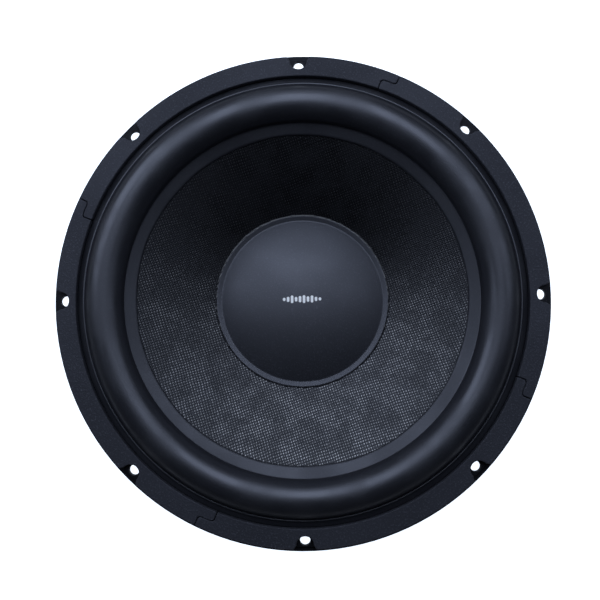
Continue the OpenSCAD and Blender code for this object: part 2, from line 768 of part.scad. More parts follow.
basket();
for (i = [0:3]) gasket(i);
surround();
cone();
dust_cap();
cap_glue();
coil_former();
coil_winding(0);  // coil_winding_inner
coil_winding(1);  // coil_winding_outer
spider();
top_plate();
magnet(1);  // magnet_upper
magnet(0);  // magnet_lower
back_plate();
shorting_ring();
magnet_boot();
vent_screen();
frame_screws();
lead_pads();
for (s = [0:1]) terminal_body(s);
for (s = [0:1]) terminal_contacts(s);
for (s = [0:1]) terminal_rivets(s);
for (s = [0:1]) for (p = [0:1]) push_post(s, p);
for (s = [0:1]) for (p = [0:1]) post_spring(s, p);
for (s = [0:1]) for (p = [0:1]) tinsel_lead(s, p);
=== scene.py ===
"""Subwoofer speaker: finished pieces and materials on its CAD frame, and the studio it stands in."""

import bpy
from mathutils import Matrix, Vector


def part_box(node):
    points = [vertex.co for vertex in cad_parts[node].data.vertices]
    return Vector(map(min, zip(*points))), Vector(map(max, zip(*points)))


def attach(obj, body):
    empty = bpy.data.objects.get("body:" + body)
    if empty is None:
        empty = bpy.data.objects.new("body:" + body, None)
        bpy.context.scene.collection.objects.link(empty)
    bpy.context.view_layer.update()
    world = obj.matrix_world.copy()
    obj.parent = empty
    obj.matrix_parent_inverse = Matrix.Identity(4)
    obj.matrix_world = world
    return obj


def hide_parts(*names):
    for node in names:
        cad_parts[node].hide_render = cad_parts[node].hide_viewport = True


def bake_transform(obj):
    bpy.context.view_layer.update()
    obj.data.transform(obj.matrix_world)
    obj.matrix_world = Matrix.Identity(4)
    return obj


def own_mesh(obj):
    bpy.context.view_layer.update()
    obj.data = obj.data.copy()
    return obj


bl_info = {
    "name": "Subwoofer speaker",
    "version": (1, 0, 0),
    "blender": (4, 5, 0),
    "location": "3D View > Sidebar > Speaker",
    "description": "Builds the visible pieces of a subwoofer speaker on its CAD frame",
    "category": "Add Mesh",
}

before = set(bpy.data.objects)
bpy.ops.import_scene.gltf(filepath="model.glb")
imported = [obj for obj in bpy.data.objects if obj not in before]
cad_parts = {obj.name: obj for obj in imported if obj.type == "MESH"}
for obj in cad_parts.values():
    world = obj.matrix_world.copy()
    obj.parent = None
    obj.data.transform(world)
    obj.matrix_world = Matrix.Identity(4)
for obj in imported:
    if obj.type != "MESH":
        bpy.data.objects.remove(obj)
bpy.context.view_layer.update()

from math import asin, atan2, copysign, cos, degrees, dist, hypot, pi, radians, sin, sqrt

import bmesh
import bpy
import numpy as np
from bpy.props import FloatProperty, FloatVectorProperty, IntProperty, PointerProperty
from mathutils import Matrix, Vector

MM = 0.001
COOL = (0.84, 0.87, 1.0, 1.0)             # tint of the gloss on the blacks in front


# ---------------------------------------------------------------- sizes taken from the frame

def corners(mesh):
    """Places of a mesh's points, one row each."""
    places = np.empty(len(mesh.vertices) * 3)
    mesh.vertices.foreach_get("co", places)
    return places.reshape(-1, 3)


def span(node):
    """Inner radius, outer radius, lowest and highest point of a CAD node, round the speaker's axis."""
    places = corners(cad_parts[node].data)
    radii = np.hypot(places[:, 0], places[:, 1])
    return tuple(map(float, (radii.min(), radii.max(), places[:, 2].min(), places[:, 2].max())))


FLANGE_TOP = float(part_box("gasket_1")[0].z)
CONE_IN, CONE_EDGE, _, CONE_EDGE_Z = span("cone")
GASKET_IN, GASKET_OUT, _, GASKET_TOP = span("gasket_1")
_, CAP_EDGE, _, CAP_TOP = span("dust_cap")
CONE_FOOT = float(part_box("cone")[0].z)
POST_PITCH = 19 * MM                      # from one post to the other on a terminal
TAB_FACE = float(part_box("terminal_body_right")[0].x)
SEAM_TURNS = (65.3, 155.1, 244.0, 335.1)  # where each gasket segment starts, in degrees


def cone_front(radius):
    """Height of the cone's front at a distance from the axis."""
    return CONE_EDGE_Z - (CONE_EDGE - radius) * sizes().cone_slope


def sizes():
    return bpy.context.scene.speaker_sizes


def colours():
    return bpy.context.scene.speaker_colours


# ---------------------------------------------------------------- what a user can change

def length(name, text, millimetres):
    return FloatProperty(name=name, description=text, default=millimetres * MM, min=0.0, precision=5,
                         subtype="DISTANCE", unit="LENGTH")


def colour(name, text, default):
    return FloatVectorProperty(name=name, description=text, default=default, size=3,
                               min=0.0, max=1.0, subtype="COLOR")


def power(name, text, default):
    return FloatProperty(name=name, description=text, default=default, min=0.0, unit="POWER")


def place(name, text, default):
    return FloatVectorProperty(name=name, description=text, default=default, size=3, subtype="TRANSLATION",
                               unit="LENGTH")


class SpeakerSizes(bpy.types.PropertyGroup):
    """Sizes of the finished pieces that the frame leaves open"""

    roll_radius: length("Roll radius", "Outer radius of the surround's half roll", 12)
    rubber: length("Rubber", "Thickness of the surround's rubber", 1.1)
    lip: length("Lip bead", "Radius of the bead at the surround's outer edge", 0.9)
    lip_circle: length("Lip circle", "Radius at which the lip bead lies", 137.0)
    band: length("Glued band", "Thickness of the surround's band on the cone", 1.2)
    band_edge: length("Band edge", "Radius of the glued band's inner edge", 105.0)
    cone_slope: FloatProperty(name="Cone slope", description="Rise of the cone's side over its run",
                              default=0.48230, min=0.1, max=1.5, precision=5)
    cone_wall: length("Cone wall", "Thickness of the cone", 1.5)
    weave: length("Weave", "Spacing of the threads in the cone's cloth", 1.15)
    crease: length("Cap crease", "Radius where the cap's dome meets its rim", 54.0)
    cap_wall: length("Cap wall", "Thickness of the dust cap", 1.2)
    cap_rise: length("Cap rise", "Height of the dome above the crease", 15.0)
    glue_bead: length("Glue bead", "Width of the bead round the dust cap", 1.3)
    mark_width: length("Mark width", "Width of the row of printed bars", 25.0)
    mark_height: length("Mark height", "Height of the tallest printed bar", 5.2)
    spider_wave: length("Spider wave", "Height of the spider's rolls above and below its plane", 2.4)
    spider_cloth: length("Spider cloth", "Thickness of the spider", 0.8)
    spider_rolls: IntProperty(name="Spider rolls", description="Number of rolls in the spider",
                              default=5, min=1, max=9)
    wire: length("Coil wire", "Spacing of the turns in the winding", 0.65)
    lead: length("Lead", "Diameter of a braided lead", 2.2)
    gasket_edge: length("Gasket edge", "Rounding of the gasket's edges", 0.7)


class SpeakerColours(bpy.types.PropertyGroup):
    """Colours of the finishes"""

    rubber: colour("Surround rubber", "Black rubber of the surround", (0.0110, 0.0115, 0.0145))
    gasket: colour("Gasket", "Fine-grained rubber of the gasket", (0.0260, 0.0272, 0.0340))
    cloth: colour("Cone cloth", "Coated glass cloth of the cone", (0.0022, 0.0023, 0.0029))
    cap: colour("Dust cap", "Skin of the dust cap", (0.0160, 0.0168, 0.0212))
    paint: colour("Frame paint", "Powder coat on the frame", (0.0056, 0.0059, 0.0074))
    boot: colour("Magnet boot", "Rubber round the magnets", (0.0120, 0.0125, 0.0150))
    plate: colour("Plates", "Black zinc on the motor's plates", (0.0450, 0.0470, 0.0530))
    ferrite: colour("Ferrite", "Ground magnet", (0.0500, 0.0500, 0.0530))
    spider: colour("Spider", "Resin-stiffened cloth", (0.4300, 0.2750, 0.1150))
    copper: colour("Copper", "Enamelled wire", (0.6200, 0.2300, 0.0900))
    red: colour("Red post", "Moulded post of the plus pole", (0.4300, 0.0160, 0.0160))
    black: colour("Black post", "Moulded post of the minus pole", (0.0180, 0.0185, 0.0210))
    mark: colour("Printed bars", "White print on the dust cap", (0.8600, 0.8700, 0.8900))


class SpeakerStudio(bpy.types.PropertyGroup):
    """Camera, lights and floor"""

    camera_place: place("Camera", "Where the camera stands", (0.00524, -0.02781, 0.54188))
    camera_aim: place("Aim", "Point that the camera looks at", (-0.00167, 0.00088, 0.100))
    camera_roll: FloatProperty(name="Roll", description="Turn of the camera round its own line of sight",
                               default=radians(0.80), subtype="ANGLE", unit="ROTATION")
    camera_lens: FloatProperty(name="Lens", description="Focal length on a 36 mm sensor, in millimetres",
                               default=39.0, min=10.0, max=200.0)
    top_light: power("Top light", "Power of the high soft light above the speaker", 2.05)
    low_light: power("Low top light", "Power of the lower soft light above the speaker", 0.65)
    fill_light: power("Fill light", "Power of the soft light over the camera", 0.30)
    left_light: power("Left light", "Power of the soft light at the upper left", 2.00)
    right_light: power("Right light", "Power of the soft light at the upper right", 1.05)
    light_tint: colour("Light tint", "Colour of the soft lights", (0.74, 0.83, 1.0))
    light_size: length("Light size", "Width of each soft light", 500)
    light_reach: length("Light reach", "From the speaker to each soft light", 750)
    room: FloatProperty(name="Room", description="Brightness of the room's own light", default=0.01, min=0.0)
    floor_glow: FloatProperty(name="Floor glow", description="Light of the pale floor from below", default=1.28,
                              min=0.0)


# ---------------------------------------------------------------- nodes of the finishes

def put(tree, kind, settings=None, **inputs):
    """Adds a node and fills its inputs with numbers, colours or other nodes' outputs."""
    made = tree.nodes.new(kind)
    for name, value in (settings or {}).items():
        setattr(made, name, value)
    for name, value in inputs.items():
        socket = made.inputs[int(name[1:])] if name[1:].isdigit() else made.inputs[name.replace("_", " ")]
        if isinstance(value, bpy.types.NodeSocket):
            tree.links.new(value, socket)
        else:
            socket.default_value = value
    return made


def sum_of(tree, operation, first, second=0.0, third=0.0):
    """Output of one step of arithmetic."""
    return put(tree, "ShaderNodeMath", {"operation": operation}, _0=first, _1=second, _2=third).outputs[0]


def ranged(tree, value, low, high, to_low=0.0, to_high=1.0):
    """Output of a value taken from one range to another, held at its ends."""
    return put(tree, "ShaderNodeMapRange", {"interpolation_type": "SMOOTHSTEP"}, Value=value, From_Min=low,
               From_Max=high, To_Min=to_low, To_Max=to_high).outputs[0]


def between(tree, share, first, second):
    """Output of a colour between two colours."""
    mix = put(tree, "ShaderNodeMix", {"data_type": "RGBA"}, _0=share)
    for slot, value in ((6, first), (7, second)):
        if isinstance(value, bpy.types.NodeSocket):
            tree.links.new(value, mix.inputs[slot])
        else:
            mix.inputs[slot].default_value = (*value, 1.0)
    return mix.outputs[2]


def new_group(name, inputs, outputs):
    """Starts a shader group with named value inputs and outputs; returns (tree, inputs' node, outputs' node)."""
    tree = bpy.data.node_groups.new(name, "ShaderNodeTree")
    for label, default in inputs.items():
        tree.interface.new_socket(label, in_out="INPUT", socket_type="NodeSocketFloat").default_value = default
    for label, kind in outputs.items():
        tree.interface.new_socket(label, in_out="OUTPUT", socket_type=kind)
    return tree, tree.nodes.new("NodeGroupInput"), tree.nodes.new("NodeGroupOutput")


def own_place(tree):
    """Output of a surface point's place on its own piece."""
    return tree.nodes.new("ShaderNodeTexCoord").outputs["Object"]


def noise(tree, place, scale, detail, **inputs):
    """Outputs of a noise texture at a place."""
    return put(tree, "ShaderNodeTexNoise", Vector=place, Scale=scale, Detail=detail, **inputs).outputs


def sent(tree, out, **values):
    """Sends a group's results to its outputs and returns the group."""
    for name, value in values.items():
        tree.links.new(value, out.inputs[name])
    return tree


def fine_grain(name):
    """Fine grain of moulded rubber, paint or plastic, and slow patches of tone."""
    tree, given, out = new_group(name, {"Grain": 0.0005, "Patch": 0.03},
                                 {"Height": "NodeSocketFloat", "Speck": "NodeSocketFloat",
                                  "Tone": "NodeSocketFloat"})
    place = own_place(tree)
    fine = noise(tree, place, sum_of(tree, "DIVIDE", 1.0, given.outputs["Grain"]), 3.0, Roughness=0.6)["Fac"]
    slow = noise(tree, place, sum_of(tree, "DIVIDE", 1.0, given.outputs["Patch"]), 2.0, Roughness=0.5)["Fac"]
    return sent(tree, out, Height=fine, Speck=ranged(tree, fine, 0.52, 0.72), Tone=ranged(tree, slow, 0.30, 0.70))


def plain_weave(name):
    """Plain weave: threads that pass over and under each other, each crossing a little different."""
    tree, given, out = new_group(name, {"Spacing": 0.001, "Turn": 0.5},
                                 {"Height": "NodeSocketFloat", "Over": "NodeSocketFloat",
                                  "Glint": "NodeSocketFloat"})

    def step(operation, *values):
        return sum_of(tree, operation, *values)

    turned_place = put(tree, "ShaderNodeVectorRotate", {"rotation_type": "Z_AXIS"}, Vector=own_place(tree),
                       Angle=given.outputs["Turn"]).outputs[0]
    wobble = noise(tree, turned_place, 90.0, 2.0)["Color"]
    drift = put(tree, "ShaderNodeVectorMath", {"operation": "MULTIPLY_ADD"}, _0=wobble, _1=(0.0014,) * 3,
                _2=turned_place).outputs[0]
    steps = put(tree, "ShaderNodeVectorMath", {"operation": "DIVIDE"}, _0=drift, _1=(1.0,) * 3)
    spacing = put(tree, "ShaderNodeCombineXYZ", X=given.outputs["Spacing"], Y=given.outputs["Spacing"], Z=1.0)
    tree.links.new(spacing.outputs[0], steps.inputs[1])
    parts = put(tree, "ShaderNodeSeparateXYZ", Vector=steps.outputs[0]).outputs
    heights = []
    for across, along, late in ((parts[0], parts[1], 0.0), (parts[1], parts[0], 1.0)):
        number = step("FLOOR", across)
        profile = step("ABSOLUTE", step("SINE", step("MULTIPLY", across, pi)))
        turn = step("MULTIPLY", step("ADD", step("ADD", along, number), late - 0.5), pi)
        heights.append(step("MULTIPLY", profile, step("MULTIPLY_ADD", step("COSINE", turn), 0.5, 0.5)))
    cell = put(tree, "ShaderNodeVectorMath", {"operation": "FLOOR"}, _0=steps.outputs[0]).outputs[0]
    glint = put(tree, "ShaderNodeTexWhiteNoise", {"noise_dimensions": "2D"}, Vector=cell).outputs["Value"]
    return sent(tree, out, Height=step("MAXIMUM", *heights), Over=step("GREATER_THAN", *heights), Glint=glint)


def rubbed_edge(name):
    """Softened edges: a normal that rounds them and a mask of where they are rubbed."""
    tree, given, out = new_group(name, {"Width": 0.0006}, {"Normal": "NodeSocketVector", "Mask": "NodeSocketFloat"})
    soft = put(tree, "ShaderNodeBevel", {"samples": 4}, Radius=given.outputs["Width"]).outputs[0]
    flat = tree.nodes.new("ShaderNodeNewGeometry").outputs["Normal"]
    same = put(tree, "ShaderNodeVectorMath", {"operation": "DOT_PRODUCT"}, _0=soft, _1=flat).outputs["Value"]
    uneven = noise(tree, own_place(tree), 260.0, 4.0)["Fac"]
    mask = sum_of(tree, "MULTIPLY", ranged(tree, same, 0.995, 0.88), ranged(tree, uneven, 0.38, 0.62))
    return sent(tree, out, Normal=soft, Mask=mask)


def placed(tree, build, **inputs):
    """Places a shader group, built on its first use, with a material's own values; returns its outputs."""
    name = build.__name__.replace("_", " ").capitalize()
    group = bpy.data.node_groups.get(name) or build(name)
    return put(tree, "ShaderNodeGroup", {"node_tree": group}, **inputs).outputs


def finish(name, base, roughness, **constants):
    """New material with one Principled shader; returns (material, tree, shader)."""
    made = bpy.data.materials.new(name)
    made.use_nodes = True
    shader = made.node_tree.nodes["Principled BSDF"]
    shader.inputs["Base Color"].default_value = (*base, 1.0)
    shader.inputs["Roughness"].default_value = roughness
    for label, value in constants.items():
        shader.inputs[label.replace("_", " ")].default_value = value
    return made, made.node_tree, shader


def bumped(tree, shader, height, depth, normal=None):
    """Raises the surface by a height map, over a normal if one is given."""
    bump = put(tree, "ShaderNodeBump", Height=height, Distance=depth, Strength=1.0)
    if normal is not None:
        tree.links.new(normal, bump.inputs["Normal"])
    tree.links.new(bump.outputs[0], shader.inputs["Normal"])


def cool_gloss(level):
    """Shader constants of a black with a cool gloss."""
    return {"Specular_IOR_Level": level, "Specular_Tint": COOL}


def grained_finish(name, base, roughness, grain, depth, patch, lift, gloss, speckle=1.5, edge=0.0, worn=None,
                   **constants):
    """Material with fine grain, slow changes of tone and gloss, and rubbed edges where edge isn't zero.
    The grain's size and depth and the patches' size are in millimetres; lift is how much lighter the lightest
    patches are, and gloss how far their roughness strays."""
    material, tree, shader = finish(name, base, roughness, **constants)
    fine = placed(tree, fine_grain, Grain=grain * MM, Patch=patch * MM)
    lighter = tuple(min(1.0, part * lift) for part in base)
    tone = between(tree, fine["Tone"], base, lighter)
    speck = tuple(min(1.0, part * lift * speckle) for part in base)
    tone = between(tree, fine["Speck"], tone, speck)
    normal = None
    if edge:
        rubbed = placed(tree, rubbed_edge, Width=edge * MM)
        normal = rubbed["Normal"]
        tone = between(tree, rubbed["Mask"], tone, worn or speck)
    tree.links.new(tone, shader.inputs["Base Color"])
    tree.links.new(ranged(tree, fine["Tone"], 0.0, 1.0, roughness + gloss, roughness - gloss),
                   shader.inputs["Roughness"])
    bumped(tree, shader, fine["Height"], depth * MM, normal)
    return material


def woven_finish(name, base, roughness, spacing, turn, depth, glint, light, **constants):
    """Material of coated cloth: raised threads, with painted shade in the valleys between them. Glint is the share
    of crossings that glint, by a glossier coat and by a painted glint that takes the base colour towards light, and
    a value over 1 lets the others glint a little too."""
    material, tree, shader = finish(name, base, roughness, **constants)
    cloth = placed(tree, plain_weave, Spacing=spacing, Turn=turn)
    fine = placed(tree, fine_grain, Grain=spacing * 0.35, Patch=0.014)
    # painted shade: the valleys between the threads are darkened to 0.35 of the base colour
    painted_gap_shade = tuple(part * 0.35 for part in base)
    tone = between(tree, ranged(tree, cloth["Height"], 0.35, 0.95), painted_gap_shade, base)
    # coat where crossings glint; the same mask also paints a glint into the base colour below
    coat_and_painted_glint = sum_of(tree, "MULTIPLY", ranged(tree, cloth["Glint"], 1.0 - glint, 1.0),
                    sum_of(tree, "MULTIPLY", ranged(tree, cloth["Height"], 0.45, 0.95), cloth["Over"]))
    coat_and_painted_glint = sum_of(tree, "MULTIPLY", coat_and_painted_glint, ranged(tree, fine["Tone"], 0.2, 0.8, 0.55, 1.0))
    tree.links.new(coat_and_painted_glint, shader.inputs["Coat Weight"])
    # painted glint: the base colour goes towards light where crossings glint
    tone = between(tree, coat_and_painted_glint, tone, light)
    tree.links.new(tone, shader.inputs["Base Color"])
    tree.links.new(ranged(tree, fine["Tone"], 0.0, 1.0, roughness + 0.05, roughness - 0.05),
                   shader.inputs["Roughness"])
    height = sum_of(tree, "MULTIPLY_ADD", fine["Height"], 0.25, cloth["Height"])
    bumped(tree, shader, height, depth)
    return material


def wire_finish(name, base, roughness, **constants):
    """Material of drawn or turned metal with a faint fine grain."""
    return grained_finish(name, base, roughness, 0.4, 0.008, 12, 1.15, 0.07, Metallic=1.0, **constants)


# ---------------------------------------------------------------- meshes

def new_piece(name, shape, materials, smooth=35.0):
    """Piece from points in metres and faces, shaded smooth except at edges sharper than smooth, in degrees."""
    points, faces = shape
    mesh = bpy.data.meshes.new(name)
    mesh.from_pydata([tuple(p) for p in np.asarray(points, float)], [], [tuple(map(int, f)) for f in faces])
    mesh.polygons.foreach_set("use_smooth", [True] * len(mesh.polygons))
    mesh.set_sharp_from_angle(angle=radians(smooth))
    piece = bpy.data.objects.new(name, mesh)
    bpy.context.scene.collection.objects.link(piece)
    for material in materials if isinstance(materials, (list, tuple)) else [materials]:
        mesh.materials.append(material)
    return piece


def settle(piece, body, stands_for=()):
    """Puts a piece on its body, if one is given, and hides the CAD nodes it stands for."""
    if body:
        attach(piece, body)
    if stands_for:
        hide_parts(*stands_for)
    return piece


def turned(outline, steps=256, warp=None, place=None):
    """Points and faces of a closed outline of (radius, height) turned round the axis.
    warp changes the outline's points by angle, and place moves the result."""
    line = np.array(outline, float)
    following = np.roll(line, -1, axis=0)
    if (line[:, 0] * following[:, 1] - following[:, 0] * line[:, 1]).sum() < 0:
        line = line[::-1]
    angles = np.linspace(0, 2 * pi, steps, endpoint=False)[:, None]
    radius, height = (np.repeat(line[None, :, k], steps, axis=0) for k in (0, 1))
    if warp:
        radius, height = warp(radius, height, angles)
    points = np.stack([radius * np.cos(angles), radius * np.sin(angles), height], axis=2).reshape(-1, 3)
    count = len(line)
    i, j = np.meshgrid(np.arange(steps), np.arange(count), indexing="ij")
    i2, j2 = (i + 1) % steps, (j + 1) % count
    faces = np.stack([i * count + j, i2 * count + j, i2 * count + j2, i * count + j2], axis=2).reshape(-1, 4)
    if place is not None:
        turn = np.array(place)
        points = points @ turn[:3, :3].T + turn[:3, 3]
    return points, faces


def closed_middle(piece):
    """Joins the points that lie on the axis, where a solid's outline meets it."""
    mesh = bmesh.new()
    mesh.from_mesh(piece.data)
    bmesh.ops.remove_doubles(mesh, verts=mesh.verts, dist=1e-7)
    bmesh.ops.dissolve_degenerate(mesh, dist=1e-8, edges=mesh.edges)
    mesh.to_mesh(piece.data)
    mesh.free()


def polar(radius, degree, centre=(0, 0)):
    """Point at a distance and an angle in degrees from a centre."""
    return centre[0] + radius * cos(radians(degree)), centre[1] + radius * sin(radians(degree))


def arc(centre, radius, start, end, count):
    """Points of an arc in an outline, by angle in degrees."""
    return [polar(radius, degree, centre) for degree in np.linspace(start, end, count)]


def block(bottom, top):
    """Points and faces of a solid between two outlines with as many points each."""
    count = len(bottom)
    faces = [tuple(range(count))[::-1], tuple(range(count, 2 * count))]
    faces += [(k, (k + 1) % count, count + (k + 1) % count, count + k) for k in range(count)]
    return [*bottom, *top], faces


def tube_faces(rings, sides):
    """Faces between rings of points that follow each other, and one over each end."""
    faces = [(i * sides + k, i * sides + (k + 1) % sides, (i + 1) * sides + (k + 1) % sides, (i + 1) * sides + k)
             for i in range(rings - 1) for k in range(sides)]
    return faces + [tuple(range(sides))[::-1], tuple((rings - 1) * sides + k for k in range(sides))]


def swept(path, radius, sides):
    """Points and faces of a round rod along a path."""
    path = np.array(path, float)
    ahead = np.gradient(path, axis=0)
    ahead /= np.linalg.norm(ahead, axis=1)[:, None]
    side = np.cross(ahead[0], (0.0, 0.0, 1.0))
    if np.linalg.norm(side) < 1e-3:
        side = np.cross(ahead[0], (0.0, 1.0, 0.0))
    rings = []
    angles = np.linspace(0, 2 * pi, sides, endpoint=False)
    for point, forward in zip(path, ahead):
        side = side - forward * side.dot(forward)
        side /= np.linalg.norm(side)
        up = np.cross(forward, side)
        rings.append(point + radius * (np.cos(angles)[:, None] * side + np.sin(angles)[:, None] * up))
    return np.concatenate(rings), tube_faces(len(path), sides)


def joined(shapes):
    """Points and faces of several (points, faces) in one mesh."""
    points, faces, base = [], [], 0
    for more_points, more_faces in shapes:
        points.append(np.asarray(more_points, float))
        faces += [tuple(int(k) + base for k in face) for face in more_faces]
        base += len(more_points)
    return np.concatenate(points), faces


def blob(centre, reach, axes, lump, seed):
    """Points and faces of a rounded drop of solder or glue, a little uneven."""
    points, rows, columns, squareness = [], 14, 24, 0.75
    for i in range(rows + 1):
        tilt = -pi / 2 + pi * i / rows
        c, s = cos(tilt), sin(tilt)
        for j in range(columns):
            turn = 2 * pi * j / columns
            shape = np.array([c * cos(turn), c * sin(turn), s])
            shape = np.sign(shape) * np.abs(shape) ** squareness
            uneven = 1 + lump * sin(3 * turn + seed) * c + lump * sin(2 * tilt + 1.7 * seed)
            points.append(np.array(centre) + (shape * uneven * np.array(reach)) @ np.array(axes, float))
    return np.array(points), tube_faces(rows + 1, columns)


def carried(node, material):
    """Gives a CAD node its finish."""
    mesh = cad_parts[node].data
    mesh.materials.clear()
    mesh.materials.append(material)


def stretched_with_cone(piece, outer, inner):
    """Bakes a ring's placement into its mesh and works out each point's share between the frame outside one radius
    and the cone inside another; the shares are not used.
    """
    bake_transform(piece)
    places = corners(piece.data)
    share = np.clip((outer - np.hypot(places[:, 0], places[:, 1])) / (outer - inner), 0, 1)
    share = share * share * (3 - 2 * share)


# ---------------------------------------------------------------- the stage

class SPEAKER_OT_stage(bpy.types.Operator):
    """Set the camera, the soft lights, the room and the pale floor"""

    bl_idname = "speaker.stage"
    bl_label = "Set the studio"

    def execute(self, context):
        studio = context.scene.speaker_studio
        place, aim = Vector(studio.camera_place), Vector(studio.camera_aim)
        ahead = (aim - place).normalized()
        up = Vector((0, 1, 0))
        up = (up - ahead * up.dot(ahead)).normalized()
        up = Matrix.Rotation(studio.camera_roll, 3, ahead) @ up
        right = ahead.cross(up)
        lens = bpy.data.cameras.new("Camera")
        lens.type = "PERSP"
        lens.lens = studio.camera_lens
        lens.sensor_width = 36.0
        lens.clip_start = 0.01
        camera = bpy.data.objects.new("Camera", lens)
        camera.matrix_world = Matrix.Translation(place) @ Matrix((right, up, -ahead)).transposed().to_4x4()
        context.scene.collection.objects.link(camera)
        context.scene.camera = camera

        for name, power, turn, rise in (("Top light", studio.top_light, 90, 60),
                                        ("Fill light", studio.fill_light, 100, 80),
                                        ("Low top light", studio.low_light, 90, 36),
                                        ("Left light", studio.left_light, 148, 38),
                                        ("Right light", studio.right_light, 30, 44)):
            self.soft_light(context, name, power, radians(turn), radians(rise))

        world = bpy.data.worlds.new("Room")
        context.scene.world = world
        world.use_nodes = True
        tree = world.node_tree
        tree.nodes.clear()
        seen = put(tree, "ShaderNodeBackground", Color=(1.0, 1.0, 1.0, 1.0), Strength=1.0)
        cast = put(tree, "ShaderNodeBackground", Color=(0.85, 0.92, 1.0, 1.0), Strength=studio.room)
        path = tree.nodes.new("ShaderNodeLightPath").outputs["Is Camera Ray"]
        both = put(tree, "ShaderNodeMixShader", _0=path, _1=cast.outputs[0], _2=seen.outputs[0])
        put(tree, "ShaderNodeOutputWorld", Surface=both.outputs[0])

        corner, level = 4, -0.2 * MM
        points = [(x * corner, y * corner, level) for x, y in ((-1, -1), (1, -1), (1, 1), (-1, 1))]
        pale, tree, shader = finish("Pale floor", (0.82, 0.82, 0.83), 0.6, Emission_Strength=studio.floor_glow)
        path = tree.nodes.new("ShaderNodeLightPath").outputs["Is Camera Ray"]
        tree.links.new(between(tree, path, (0.20, 0.22, 0.25), (0.80, 0.88, 1.0)), shader.inputs["Emission Color"])
        floor = new_piece("floor", (points, [(0, 1, 2, 3)]), pale)
        context.scene.view_settings.view_transform = "Standard"
        return {"FINISHED"}

    def soft_light(self, context, name, power, turn, rise):
        """Square light that faces the speaker, by its turn round the axis and its rise above the floor."""
        studio = context.scene.speaker_studio
        target = Vector((0, 0, 0.12))
        spot = target + studio.light_reach * Vector((cos(rise) * cos(turn),
                                                     cos(rise) * sin(turn), sin(rise)))
        lamp = bpy.data.lights.new(name, "AREA")
        lamp.shape = "SQUARE"
        lamp.size = studio.light_size
        lamp.energy = power
        lamp.color = studio.light_tint
        light = bpy.data.objects.new(name, lamp)
        light.location = spot
        light.rotation_euler = (target - spot).to_track_quat("-Z", "Y").to_euler()
        context.scene.collection.objects.link(light)


# ---------------------------------------------------------------- the frame and its hardware

class SPEAKER_OT_frame(bpy.types.Operator):
    """Finish the pressed frame and the screws in its cup"""

    bl_idname = "speaker.frame"
    bl_label = "Frame and screws"

    def execute(self, context):
        paint = grained_finish("Powder coat", colours().paint, 0.50, 0.9, 0.06, 40, 1.3, 0.05, edge=0.7,
                               worn=(0.030, 0.032, 0.039), **cool_gloss(0.14))
        carried("basket", paint)
        zinc = grained_finish("Bright zinc", (0.62, 0.63, 0.64), 0.32, 0.3, 0.01, 6, 1.2, 0.08, edge=0.3,
                              worn=(0.8, 0.8, 0.8), Metallic=1.0)
        carried("frame_screws", zinc)
        return {"FINISHED"}


class SPEAKER_OT_gaskets(bpy.types.Operator):
    """Build the four gasket segments, with stepped seams and a scallop at each bolt hole"""

    bl_idname = "speaker.gaskets"
    bl_label = "Gasket segments"

    def execute(self, context):
        skin = grained_finish("Gasket rubber", colours().gasket, 0.60, 1.1, 0.32, 50, 1.2, 0.05, speckle=1.8,
                              **cool_gloss(0.2))
        for index, start in enumerate(SEAM_TURNS):
            end = SEAM_TURNS[(index + 1) % 4] + (360 if index == 3 else 0)
            outline = self.outline(start, end)
            segment = new_piece(f"gasket_segment_{index + 1}",
                                block(*([(x, y, z) for x, y in outline] for z in (FLANGE_TOP, GASKET_TOP))), skin)
            rounding = segment.modifiers.new("Rounded edges", "BEVEL")
            rounding.width = sizes().gasket_edge
            rounding.segments = 3
            rounding.limit_method = "ANGLE"
            rounding.angle_limit = radians(45)
            rounding.use_clamp_overlap = False
            rounding.harden_normals = True
            settle(segment, "frame", [f"gasket_{index + 1}"])
        return {"FINISHED"}

    def outline(self, start, end):
        """Points of one segment: outer arc with its scallops, a stepped end, inner arc, a stepped end."""
        middle, offset, gap = (GASKET_IN + GASKET_OUT) / 2, 1.2 * MM, 0.10 * MM
        step, slit, facet = 3.8, 0.07, 0.6      # length of a seam's step, half its slit and a facet, in degrees
        half_mouth, notch, notch_circle = 7.1 * MM, 5.4 * MM, 150.9 * MM

        def along(radius, first, last):
            return arc((0, 0), radius, first, last, max(2, int(abs(last - first) / facet)))

        def curl(first, aside, parts):
            return [polar(middle + aside + offset * (1 - 2 * part) ** 5, first + step * part) for part in parts]

        reach = degrees(asin(half_mouth / GASKET_OUT))
        at, line = start + slit, []
        for bolt in range(0, 450, 45):
            if at < bolt - reach and bolt + reach < end - slit:
                line += along(GASKET_OUT, at, bolt - reach)
                line += arc(polar(notch_circle, bolt), notch, bolt + 270, bolt + 90, 19)
                at = bolt + reach
        line += along(GASKET_OUT, at, end - slit) + curl(end - slit, -gap, np.linspace(0, 1, 17))
        line += along(GASKET_IN, end + step - slit, start + step + slit)
        line += curl(start + slit, gap, np.linspace(1, 0, 17))
        tidy = [line[0]]
        for point in line[1:]:
            if dist(point, tidy[-1]) > 0.08 * MM:
                tidy.append(point)
        return tidy


# ---------------------------------------------------------------- the moving parts

